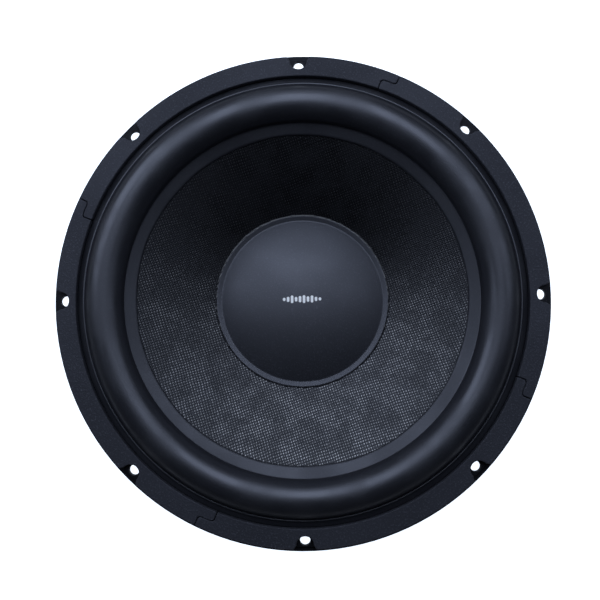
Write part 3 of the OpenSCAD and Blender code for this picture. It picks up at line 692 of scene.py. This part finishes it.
class SPEAKER_OT_surround(bpy.types.Operator):
    """Build the rubber surround"""

    bl_idname = "speaker.surround"
    bl_label = "Surround"

    def execute(self, context):
        s = sizes()
        roll_out = s.lip_circle - s.lip
        middle = (roll_out - s.roll_radius, FLANGE_TOP)
        roll_in = roll_out - 2 * s.roll_radius
        inner = s.roll_radius - s.rubber
        outer_edge = span("surround")[1]
        top = FLANGE_TOP + s.rubber
        foot = degrees(asin(s.rubber / s.roll_radius))
        line = [(outer_edge, FLANGE_TOP), (outer_edge, top - 0.3 * MM), (outer_edge - 0.3 * MM, top),
                (roll_out + 2 * s.lip + 0.2 * MM, top)]
        line += arc((s.lip_circle, top), s.lip, 15, 165, 11)
        line += arc(middle, s.roll_radius, foot + 1, 180, 56)
        for r in np.linspace(roll_in - 0.3 * MM, s.band_edge + 0.5 * MM, 9):
            line.append((r, cone_front(r) + s.band))
        line += [(s.band_edge + 0.2 * MM, cone_front(s.band_edge) + s.band - 0.15 * MM),
                 (s.band_edge, cone_front(s.band_edge) + s.band - 0.45 * MM),
                 (s.band_edge, cone_front(s.band_edge))]
        line.append((roll_in + s.rubber, cone_front(roll_in + s.rubber)))
        line += arc(middle, inner, 180, 0, 30)
        rubber = grained_finish("Surround rubber", colours().rubber, 0.41, 1.1, 0.016, 28, 1.3, 0.08,
                                **cool_gloss(0.80))
        pressed = grained_finish("Pressed band", colours().rubber, 0.45, 1.1, 0.02, 35, 1.3, 0.05,
                                 **cool_gloss(0.60))
        piece = new_piece("rubber_surround", turned(line, 360, self.uneven), [rubber, pressed], smooth=50)
        for face in piece.data.polygons:
            face.material_index = int(hypot(*face.center[:2]) < roll_in - 0.4 * MM)
        settle(piece, None, ["surround"])
        stretched_with_cone(piece, roll_out, roll_in + s.rubber)
        return {"FINISHED"}

    def uneven(self, radius, height, angles):
        """Makes the glued band's inner edge wander a little, as it does when it is pressed on by hand."""
        s = sizes()
        wander = 0.16 * np.sin(5 * angles + 0.4) + 0.10 * np.sin(11 * angles + 2.0) + 0.06 * np.sin(23 * angles)
        near = np.clip((s.band_edge + 3 * MM - radius) / (3 * MM), 0, 1)
        moved = radius + wander * MM * near
        return moved, height + (moved - radius) * s.cone_slope


class SPEAKER_OT_cone(bpy.types.Operator):
    """Build the woven cone"""

    bl_idname = "speaker.cone"
    bl_label = "Cone"

    def execute(self, context):
        s = sizes()
        # the last colour, (0.010, 0.0105, 0.0130), is a painted glint on the crossings; the thread valleys get
        # painted shade
        cloth = woven_finish("Cone cloth", colours().cloth, 0.37, s.weave, radians(28), 0.00012, 1.6,
                             (0.010, 0.0105, 0.0130), **cool_gloss(0.38),
                             Coat_IOR=2.45, Coat_Roughness=0.30, Coat_Tint=COOL)
        line = [(r, cone_front(r)) for r in np.linspace(CONE_IN, CONE_EDGE, 34)]
        line += [(CONE_EDGE, CONE_EDGE_Z - s.cone_wall)]
        line += [(r, cone_front(r) - s.cone_wall) for r in np.linspace(CONE_EDGE - 2 * MM, CONE_IN + s.cone_wall,
                                                                       30)]
        line += [(CONE_IN + s.cone_wall, CONE_FOOT), (CONE_IN, CONE_FOOT)]
        settle(new_piece("woven_cone", turned(line, 288), cloth), "cone_assembly", ["cone"])
        return {"FINISHED"}


class SPEAKER_OT_dust_cap(bpy.types.Operator):
    """Build the dust cap with its printed bars and the bead of glue round it"""

    bl_idname = "speaker.dust_cap"
    bl_label = "Dust cap"

    def execute(self, context):
        self.cap()
        self.bars()
        self.bead()
        return {"FINISHED"}

    def dome(self, radius):
        """Height of the dome's outside at a distance from the axis."""
        s = sizes()
        bend = (s.crease ** 2 + s.cap_rise ** 2) / (2 * s.cap_rise)
        return CAP_TOP - bend + sqrt(bend ** 2 - radius ** 2)

    def cap(self):
        s = sizes()
        skin = grained_finish("Cap skin", colours().cap, 0.55, 1, 0.07, 30, 1.15, 0.03, speckle=2.0,
                              **cool_gloss(1.0))
        line = [(r, self.dome(r)) for r in np.linspace(0, s.crease - 1.2 * MM, 40)]
        low = cone_front(s.crease) + s.cap_wall
        line += [(s.crease - 0.6 * MM, self.dome(s.crease - 0.6 * MM) - 0.05 * MM),
                 (s.crease - 0.15 * MM, low + 0.10 * MM), (s.crease + 0.15 * MM, low + 0.02 * MM),
                 (s.crease + 0.6 * MM, cone_front(s.crease + 0.6 * MM) + s.cap_wall)]
        line += [(r, cone_front(r) + s.cap_wall) for r in np.linspace(s.crease + 1 * MM, CAP_EDGE - 0.4 * MM, 5)]
        line += [(CAP_EDGE - 0.1 * MM, cone_front(CAP_EDGE) + s.cap_wall - 0.2 * MM),
                 (CAP_EDGE, cone_front(CAP_EDGE) + s.cap_wall - 0.5 * MM), (CAP_EDGE, cone_front(CAP_EDGE)),
                 (s.crease, cone_front(s.crease))]
        line += [(r, self.dome(r) - s.cap_wall) for r in np.linspace(s.crease - 1.5 * MM, 0, 24)]
        piece = new_piece("domed_cap", turned(line, 256), skin, smooth=60)
        closed_middle(piece)
        settle(piece, "cone_assembly", ["dust_cap"])

    def bars(self):
        """A row of upright bars of different heights, printed on the dome."""
        s = sizes()
        white = grained_finish("White print", colours().mark, 0.45, 0.6, 0.01, 4, 1.06, 0.04)
        tall = (0.42, 0.66, 0.96, 0.58, 0.80, 1.0, 0.70, 0.90, 0.54, 0.40)
        pitch = s.mark_width / (len(tall) - 0.30)
        half = pitch * 0.35
        shapes = []
        for index, share in enumerate(tall):
            x, reach = (index - (len(tall) - 1) / 2) * pitch, share * s.mark_height / 2
            rim = [(x + half * cos(a), copysign(max(0.0, reach - half), sin(a) + 1e-9) + half * sin(a))
                   for a in np.linspace(0, 2 * pi, 17)[:-1]]
            shapes.append(block(*([(px, py, self.dome(hypot(px, py)) + lift) for px, py in rim]
                                  for lift in (-0.1 * MM, 0.12 * MM))))
        settle(new_piece("cap_bars", joined(shapes), white, smooth=30), "cone_assembly")

    def bead(self):
        """An uneven bead of clear glue, with a few thicker drops."""
        s = sizes()
        glue = grained_finish("Clear glue", (0.012, 0.0125, 0.0155), 0.26, 1.2, 0.12, 8, 1.6, 0.06,
                              Specular_IOR_Level=0.35, Coat_Weight=0.25, Coat_Roughness=0.12)
        inner = CAP_EDGE - 0.05 * MM
        line = [(inner, cone_front(inner) - 0.1 * MM), (CAP_EDGE + s.glue_bead, cone_front(CAP_EDGE + s.glue_bead))]
        line += arc((CAP_EDGE, cone_front(CAP_EDGE) + 0.1 * MM), s.glue_bead * 0.92, 20, 96, 8)
        settle(new_piece("glue_bead", turned(line, 720, self.uneven_bead), glue, smooth=70), "cone_assembly",
               ["cap_glue"])

    def uneven_bead(self, radius, height, angles):
        s = sizes()
        swell = (0.10 * np.sin(9 * angles + 1) + 0.09 * np.sin(31 * angles) + 0.07 * np.sin(53 * angles + 0.6)
                 + 0.05 * np.sin(97 * angles + 2.2)) - 0.12
        out = np.clip((radius - CAP_EDGE) / s.glue_bead, 0, 1)
        up = np.clip((height - cone_front(radius)) / s.glue_bead, 0, 1)
        moved = radius + swell * s.glue_bead * out
        return moved, height + (moved - radius) * s.cone_slope + swell * s.glue_bead * up


class SPEAKER_OT_coil(bpy.types.Operator):
    """Finish the coil former, wind the coil on it and set the pads that the leads end on"""

    bl_idname = "speaker.coil"
    bl_label = "Voice coil"

    def execute(self, context):
        foil = grained_finish("Former film", (0.50, 0.34, 0.15), 0.30, 0.6, 0.01, 15, 1.25, 0.06, Metallic=0.7)
        carried("coil_former", foil)
        wire = wire_finish("Enamelled copper", colours().copper, 0.28, Coat_Weight=0.6, Coat_Roughness=0.12)
        for layer in ("inner", "outer"):
            low_r, high_r, low, high = span(f"coil_winding_{layer}")
            count = max(1, round((high - low) / sizes().wire))
            pitch = (high - low) / count
            line = []
            for turn in range(count):
                centre = low + (turn + 0.5) * pitch
                line += [(high_r - 0.24 * MM * (1 - cos(a)), centre + pitch / 2 * sin(a) * 0.98)
                         for a in np.linspace(-pi / 2, pi / 2, 5)]
            line += [(low_r, high), (low_r, low)]
            settle(new_piece(f"wound_layer_{layer}", turned(line, 128), wire, smooth=60), "cone_assembly",
                   [f"coil_winding_{layer}"])
        solder = wire_finish("Solder", (0.66, 0.66, 0.68), 0.26, Coat_Weight=0.5, Coat_Roughness=0.2)
        low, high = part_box("lead_pads")
        former = span("coil_former")[1]
        shapes = []
        for side in (1, -1):
            for pole in (1, -1):
                turn = atan2(pole * POST_PITCH / 2, side * (high.x - 1 * MM))
                outward = np.array((cos(turn), sin(turn), 0))
                axes = (outward, (-sin(turn), cos(turn), 0), (0, 0, 1))
                centre = outward * (former + 1.75 * MM) + np.array((0, 0, (low.z + high.z) / 2))
                shapes.append(blob(centre, (1.95 * MM, 2.3 * MM, 2.3 * MM), axes, 0.05, seed=side + 2 * pole))
        settle(new_piece("solder_pads", joined(shapes), solder, smooth=80), "cone_assembly",
               ["lead_pads"])
        return {"FINISHED"}


class SPEAKER_OT_spider(bpy.types.Operator):
    """Build the corrugated spider"""

    bl_idname = "speaker.spider"
    bl_label = "Spider"

    def execute(self, context):
        s = sizes()
        inner, outer, _, high = span("spider")
        plane = float(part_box("spider")[0].z) + s.spider_wave
        first, last = inner + 5 * MM, outer - 15 * MM
        mid = [(inner + s.spider_cloth, plane), (inner + 3 * MM, plane)]
        for r in np.linspace(first, last, s.spider_rolls * 18 + 1):
            wave = sin(2 * pi * s.spider_rolls * (r - first) / (last - first))
            mid.append((r, plane + s.spider_wave * copysign(abs(wave) ** 0.85, wave)))
        mid += [(last + 5 * MM, plane), (outer - 0.3 * MM, plane)]
        line = [(inner, plane)] + mid + [(outer, plane + 0.2 * MM), (outer, plane + s.spider_cloth - 0.2 * MM)]
        line += [(r, z + s.spider_cloth) for r, z in reversed(mid[1:])]
        line += [(inner + s.spider_cloth + 0.8 * MM, plane + s.spider_cloth + 0.3 * MM),
                 (inner + s.spider_cloth, plane + s.spider_cloth + 1.1 * MM), (inner + s.spider_cloth, high),
                 (inner, high)]
        # the lighter amber, (0.62, 0.45, 0.24), is a painted glint on a few crossings; the thread valleys get
        # painted shade
        cloth = woven_finish("Spider cloth", colours().spider, 0.72, 0.95 * MM, radians(45), 0.00016, 0.12,
                             (0.62, 0.45, 0.24), Sheen_Weight=0.15)
        piece = new_piece("corrugated_spider", turned(line, 240), cloth, smooth=70)
        settle(piece, None, ["spider"])
        stretched_with_cone(piece, last, first)
        return {"FINISHED"}


# ---------------------------------------------------------------- the motor

class SPEAKER_OT_motor(bpy.types.Operator):
    """Finish the plates, magnets, ring and screen, and build the rubber boot round the magnets"""

    bl_idname = "speaker.motor"
    bl_label = "Motor"

    def execute(self, context):
        black_zinc = grained_finish("Black zinc", colours().plate, 0.34, 0.6, 0.02, 20, 1.35, 0.08, edge=0.8,
                                    worn=(0.16, 0.165, 0.175), Metallic=0.55)
        for node in ("top_plate", "back_plate"):
            carried(node, black_zinc)
        ferrite = grained_finish("Ground ferrite", colours().ferrite, 0.50, 0.8, 0.03, 20, 1.3, 0.06, edge=0.8,
                                 worn=(0.09, 0.09, 0.094))
        for node in ("magnet_upper", "magnet_lower"):
            carried(node, ferrite)
        carried("shorting_ring", wire_finish("Turned aluminium", (0.78, 0.79, 0.80), 0.28))
        carried("vent_screen", grained_finish("Screen black", (0.020, 0.020, 0.022), 0.36, 0.5, 0.02, 8, 1.4, 0.06,
                                              edge=0.2, worn=(0.08, 0.08, 0.085)))
        self.boot()
        return {"FINISHED"}

    def boot(self):
        """Rubber boot with rounded lips, two grooves and a fluted belt between them."""
        inner, outer, low, high = span("magnet_boot")
        magnet_r = span("magnet_upper")[1]
        under, above = float(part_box("magnet_lower")[0].z), float(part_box("magnet_upper")[1].z)
        lip, groove = 1.5 * MM, 0.7 * MM
        line = [(inner, under), (inner, low + lip)]
        line += arc((inner + lip, low + lip), lip, 180, 270, 6) + arc((outer - lip, low + lip), lip, 270, 360, 6)
        for middle in (low + 6.5 * MM, high - 6.5 * MM):
            if middle > low + 8 * MM:
                for z in np.linspace(low + 8.6 * MM, high - 8.6 * MM, 12):
                    line.append((outer - 0.05 * MM, z))
            line += [(outer, middle - 1.1 * MM), (outer - groove * 0.8, middle - 0.6 * MM),
                     (outer - groove, middle), (outer - groove * 0.8, middle + 0.6 * MM),
                     (outer, middle + 1.1 * MM)]
        line += arc((outer - lip, high - lip), lip, 0, 90, 6) + arc((inner + lip, high - lip), lip, 90, 180, 6)
        line += [(inner, above), (magnet_r, above), (magnet_r, under)]
        belt = (low + 9.5 * MM, high - 9.5 * MM)

        def fluted(radius, height, angles):
            on_belt = (radius > outer - 0.1 * MM) & (height > belt[0]) & (height < belt[1])
            return radius - on_belt * 0.45 * MM * (0.5 - 0.5 * np.cos(96 * angles)) ** 2, height

        rubber = grained_finish("Boot rubber", colours().boot, 0.52, 0.8, 0.05, 30, 1.35, 0.06)
        settle(new_piece("fluted_boot", turned(line, 768, fluted), rubber, smooth=40), "frame",
               ["magnet_boot"])


# ---------------------------------------------------------------- terminals and leads

class SPEAKER_OT_terminals(bpy.types.Operator):
    """Finish the terminals and build their push posts and springs"""

    bl_idname = "speaker.terminals"
    bl_label = "Terminals"

    def execute(self, context):
        plastic = grained_finish("Terminal plastic", (0.016, 0.016, 0.018), 0.44, 0.5, 0.03, 10, 1.3, 0.06,
                                 edge=0.4, worn=(0.05, 0.05, 0.054))
        plated = wire_finish("Plated brass", (0.86, 0.62, 0.28), 0.24)
        rivet = wire_finish("Rivet aluminium", (0.78, 0.78, 0.80), 0.30)
        steel = wire_finish("Spring wire", (0.66, 0.66, 0.68), 0.22)
        white = grained_finish("Pole mark", (0.80, 0.80, 0.80), 0.5, 0.4, 0.01, 3, 1.1, 0.04)
        gloss = {"Coat_Weight": 0.3, "Coat_Roughness": 0.15}
        posts = {"plus": grained_finish("Red post", colours().red, 0.26, 0.6, 0.01, 6, 1.25, 0.05, **gloss),
                 "minus": grained_finish("Black post", colours().black, 0.28, 0.6, 0.01, 6, 1.4, 0.05, **gloss)}
        for side, way in (("right", 1), ("left", -1)):
            carried(f"terminal_body_{side}", plastic)
            carried(f"terminal_contacts_{side}", plated)
            carried(f"terminal_rivets_{side}", rivet)
            for pole in ("plus", "minus"):
                self.post(side, way, pole, posts[pole], white)
                self.spring(side, way, pole, steel)
        self.lug_solder()
        return {"FINISHED"}

    def post(self, side, way, pole, plastic, white):
        """Push post: a smooth stem with its cross hole, and a fluted head with its pole's mark."""
        node = f"push_post_{side}_{pole}"
        low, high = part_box(node)
        start, end = (low.x, high.x) if way > 0 else (-high.x, -low.x)
        y, z = (low.y + high.y) / 2, (low.z + high.z) / 2
        head, stem, head_len = (high.y - low.y) / 2, 4 * MM, 4 * MM
        neck = end - head_len
        line = [(0, start), (stem - 0.4 * MM, start), (stem, start + 0.4 * MM), (stem, neck),
                (head - 0.5 * MM, neck), (head, neck + 0.5 * MM)]
        line += [(head, t) for t in np.linspace(neck + 0.9 * MM, end - 1.4 * MM, 4)]
        line += arc((head - 1.0 * MM, end - 1.0 * MM), 1.0 * MM, 0, 90, 6)
        line += [(head * 0.62, end), (head * 0.55, end - 0.25 * MM), (0, end - 0.25 * MM)]

        def gripped(radius, height, angles):
            on_head = (radius > head - 0.05 * MM) & (height > neck + 0.7 * MM) & (height < end - 1.2 * MM)
            return radius - on_head * 0.38 * MM * (0.5 - 0.5 * np.cos(20 * angles)), height

        # the outline's axis lies along +X on the right and along -X on the left
        place = Matrix(((0, 0, way, 0), (0, -way, 0, y), (1, 0, 0, z), (0, 0, 0, 1)))
        piece = new_piece(f"press_post_{side}_{pole}", turned(line, 160, gripped, place), plastic, smooth=32)
        closed_middle(piece)
        self.bore(piece, way, y, z)
        settle(piece, f"post_{side}_{pole}", [node])
        face = way * (end - 0.25 * MM)
        strokes = [(2.3 * MM, 0.45 * MM)] + ([(0.45 * MM, 2.3 * MM)] if pole == "plus" else [])
        shapes = []
        for half_y, half_z in strokes:
            rim = [(-half_y, -half_z), (half_y, -half_z), (half_y, half_z), (-half_y, half_z)][::way]
            shapes.append(block(*([(face + way * lift, y + cy, z + cz) for cy, cz in rim]
                                  for lift in (-0.05 * MM, 0.14 * MM))))
        settle(new_piece(f"pole_mark_{side}_{pole}", joined(shapes), white, smooth=20), f"post_{side}_{pole}")

    def bore(self, piece, way, y, z):
        """Cuts the cross hole for the speaker's wire."""
        radius, reach, travel = 1.6 * MM, 8 * MM, 3.2 * MM
        tab, collar = 2.5 * MM, 11.5 * MM       # thickness of the terminal's tab, length of the post's collar
        x = way * (TAB_FACE + tab + collar / 2 + travel)
        drill = new_piece("drill", turned([(0, -reach), (radius, -reach), (radius, reach), (0, reach)], 40,
                                          place=Matrix.Translation((x, y, z))), [])
        closed_middle(drill)
        cut = piece.modifiers.new("Cross hole", "BOOLEAN")
        cut.operation = "DIFFERENCE"
        cut.solver = "EXACT"
        cut.object = drill
        bpy.context.view_layer.update()
        result = bpy.data.meshes.new_from_object(
            piece.evaluated_get(bpy.context.evaluated_depsgraph_get()))
        if len(result.polygons) < len(piece.data.polygons) // 2:
            raise RuntimeError(f"{piece.name}: the cross hole could not be cut")
        piece.modifiers.clear()
        piece.data = result
        bpy.data.objects.remove(drill)

    def spring(self, side, way, pole, steel):
        """Coil spring behind the post."""
        node = f"post_spring_{side}_{pole}"
        low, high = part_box(node)
        wire = 0.3 * MM
        reach = (high.y - low.y) / 2 - wire
        y, z = (low.y + high.y) / 2, (low.z + high.z) / 2
        turns, count = 5.5, 132
        path = []
        for k in range(count + 1):
            t = k / count
            ease = min(1.0, max(0.0, (t * turns - 0.8) / (turns - 1.6)))
            angle = 2 * pi * turns * t
            x = low.x + wire + (high.x - low.x - 2 * wire) * (0.04 * t + 0.96 * ease)
            path.append((x, y + reach * cos(angle), z + reach * sin(angle)))
        piece = settle(new_piece(f"coil_spring_{side}_{pole}", swept(path, wire, 8), steel, smooth=60), "frame",
                       [node])
        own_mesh(piece)

    def lug_solder(self):
        """Drops of solder where the leads meet the lugs."""
        solder = bpy.data.materials["Solder"]
        low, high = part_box("terminal_contacts_right")
        shapes = [blob((way * (low.x + 1.2 * MM), pole * POST_PITCH / 2, (low.z + high.z) / 2),
                       (1.9 * MM, 1.9 * MM, 1.35 * MM), np.eye(3), 0.06, seed=way + 3 * pole)
                  for way in (1, -1) for pole in (1, -1)]
        settle(new_piece("lug_solder", joined(shapes), solder, smooth=80), "frame")


class SPEAKER_OT_leads(bpy.types.Operator):
    """Braid the four leads from the terminals' lugs to the pads on the former"""

    bl_idname = "speaker.leads"
    bl_label = "Braided leads"

    ROUTE = ((0, 0), (3, 0.2), (8, 2.2), (14, 5), (21, 7.2), (28, 7.6), (35, 5.6), (41, 2.4), (46, 0.5), (49.2, 0))

    def execute(self, context):
        braid = wire_finish("Tinned braid", (0.68, 0.50, 0.34), 0.38)
        core = grained_finish("Lead core", (0.10, 0.085, 0.065), 0.8, 0.4, 0.03, 5, 1.4, 0.05)
        contacts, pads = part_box("terminal_contacts_right"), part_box("lead_pads")
        start, end = contacts[0].x, pads[1].x - 0.4 * MM
        low, high = (contacts[0].z + contacts[1].z) / 2, (pads[0].z + pads[1].z) / 2
        for side, way in (("right", 1), ("left", -1)):
            for pole, sign in (("plus", 1), ("minus", -1)):
                y = way * sign * POST_PITCH / 2
                path = self.route(start, end, low, high, way, y)
                piece = self.braided(f"braided_lead_{side}_{pole}", path, braid, core)
                settle(piece, None, [f"tinsel_lead_{side}_{pole}"])
                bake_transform(piece)
        return {"FINISHED"}

    def route(self, start, end, low, high, way, y):
        """Smooth path through the route's points."""
        run = self.ROUTE[-1][0]
        knots = np.array([q[0] / run for q in self.ROUTE])
        lifts = np.array([q[1] * MM for q in self.ROUTE])
        fine = np.linspace(0, 1, 261)
        slopes = np.gradient(lifts, knots)
        where = np.clip(np.searchsorted(knots, fine, side="right") - 1, 0, len(knots) - 2)
        width = knots[where + 1] - knots[where]
        t = (fine - knots[where]) / width
        lift = ((2 * t ** 3 - 3 * t ** 2 + 1) * lifts[where] + (t ** 3 - 2 * t ** 2 + t) * width * slopes[where]
                + (3 * t ** 2 - 2 * t ** 3) * lifts[where + 1] + (t ** 3 - t ** 2) * width * slopes[where + 1])
        height = low + (high - low) * fine ** 2 * (3 - 2 * fine) + lift
        return np.stack([way * (start + (end - start) * fine), np.full_like(fine, y), height], axis=1)

    def braided(self, name, path, braid, core):
        """Core and ten strands, five each way round, that pass over and under each other."""
        strand, each_way, turns = 0.26 * MM, 5, 5.0
        reach = sizes().lead / 2 - strand - 0.07 * MM
        ahead = np.gradient(path, axis=0)
        ahead /= np.linalg.norm(ahead, axis=1)[:, None]
        side = np.tile((0.0, 1.0, 0.0), (len(path), 1))
        up = np.cross(ahead, side)
        along = np.linspace(0, 1, len(path))
        shapes = [swept(path[::4], reach - 0.04 * MM, 12)]
        for way in (1, -1):
            for index in range(each_way):
                angle = way * 2 * pi * turns * along + 2 * pi * index / each_way
                over = way * 0.07 * MM * np.cos(each_way * 2 * pi * turns * along)
                radius = (reach + over)[:, None]
                shapes.append(swept(path + radius * (np.cos(angle)[:, None] * side + np.sin(angle)[:, None] * up),
                                    strand, 4))
        piece = new_piece(name, joined(shapes), [braid, core], smooth=80)
        core_faces = len(shapes[0][1])
        piece.data.polygons.foreach_set("material_index",
                                        [int(k < core_faces) for k in range(len(piece.data.polygons))])
        return piece


# ---------------------------------------------------------------- add-on

BUILD = (SPEAKER_OT_stage, SPEAKER_OT_frame, SPEAKER_OT_gaskets, SPEAKER_OT_surround, SPEAKER_OT_cone,
         SPEAKER_OT_dust_cap, SPEAKER_OT_coil, SPEAKER_OT_spider, SPEAKER_OT_motor, SPEAKER_OT_terminals,
         SPEAKER_OT_leads)


class SPEAKER_PT_build(bpy.types.Panel):
    """Lists the speaker's pieces, sizes and colours"""

    bl_idname = "SPEAKER_PT_build"
    bl_label = "Subwoofer speaker"
    bl_space_type = "VIEW_3D"
    bl_region_type = "UI"
    bl_category = "Speaker"

    def draw(self, context):
        for operator in BUILD:
            self.layout.operator(operator.bl_idname)
        for title, group in (("Sizes", context.scene.speaker_sizes), ("Colours", context.scene.speaker_colours),
                             ("Studio", context.scene.speaker_studio)):
            box = self.layout.box()
            box.label(text=title)
            for name in group.__annotations__:
                box.prop(group, name)


CLASSES = (SpeakerSizes, SpeakerColours, SpeakerStudio, *BUILD, SPEAKER_PT_build)


def register():
    for item in CLASSES:
        bpy.utils.register_class(item)
    bpy.types.Scene.speaker_sizes = PointerProperty(type=SpeakerSizes)
    bpy.types.Scene.speaker_colours = PointerProperty(type=SpeakerColours)
    bpy.types.Scene.speaker_studio = PointerProperty(type=SpeakerStudio)


def unregister():
    del bpy.types.Scene.speaker_studio
    del bpy.types.Scene.speaker_colours
    del bpy.types.Scene.speaker_sizes
    for item in reversed(CLASSES):
        bpy.utils.unregister_class(item)


def main():
    """Builds every piece in order."""
    register()
    bpy.ops.speaker.stage()
    bpy.ops.speaker.frame()
    bpy.ops.speaker.gaskets()
    bpy.ops.speaker.surround()
    bpy.ops.speaker.cone()
    bpy.ops.speaker.dust_cap()
    bpy.ops.speaker.coil()
    bpy.ops.speaker.spider()
    bpy.ops.speaker.motor()
    bpy.ops.speaker.terminals()
    bpy.ops.speaker.leads()
    bpy.context.view_layer.update()


if __name__ == "__main__":
    main()
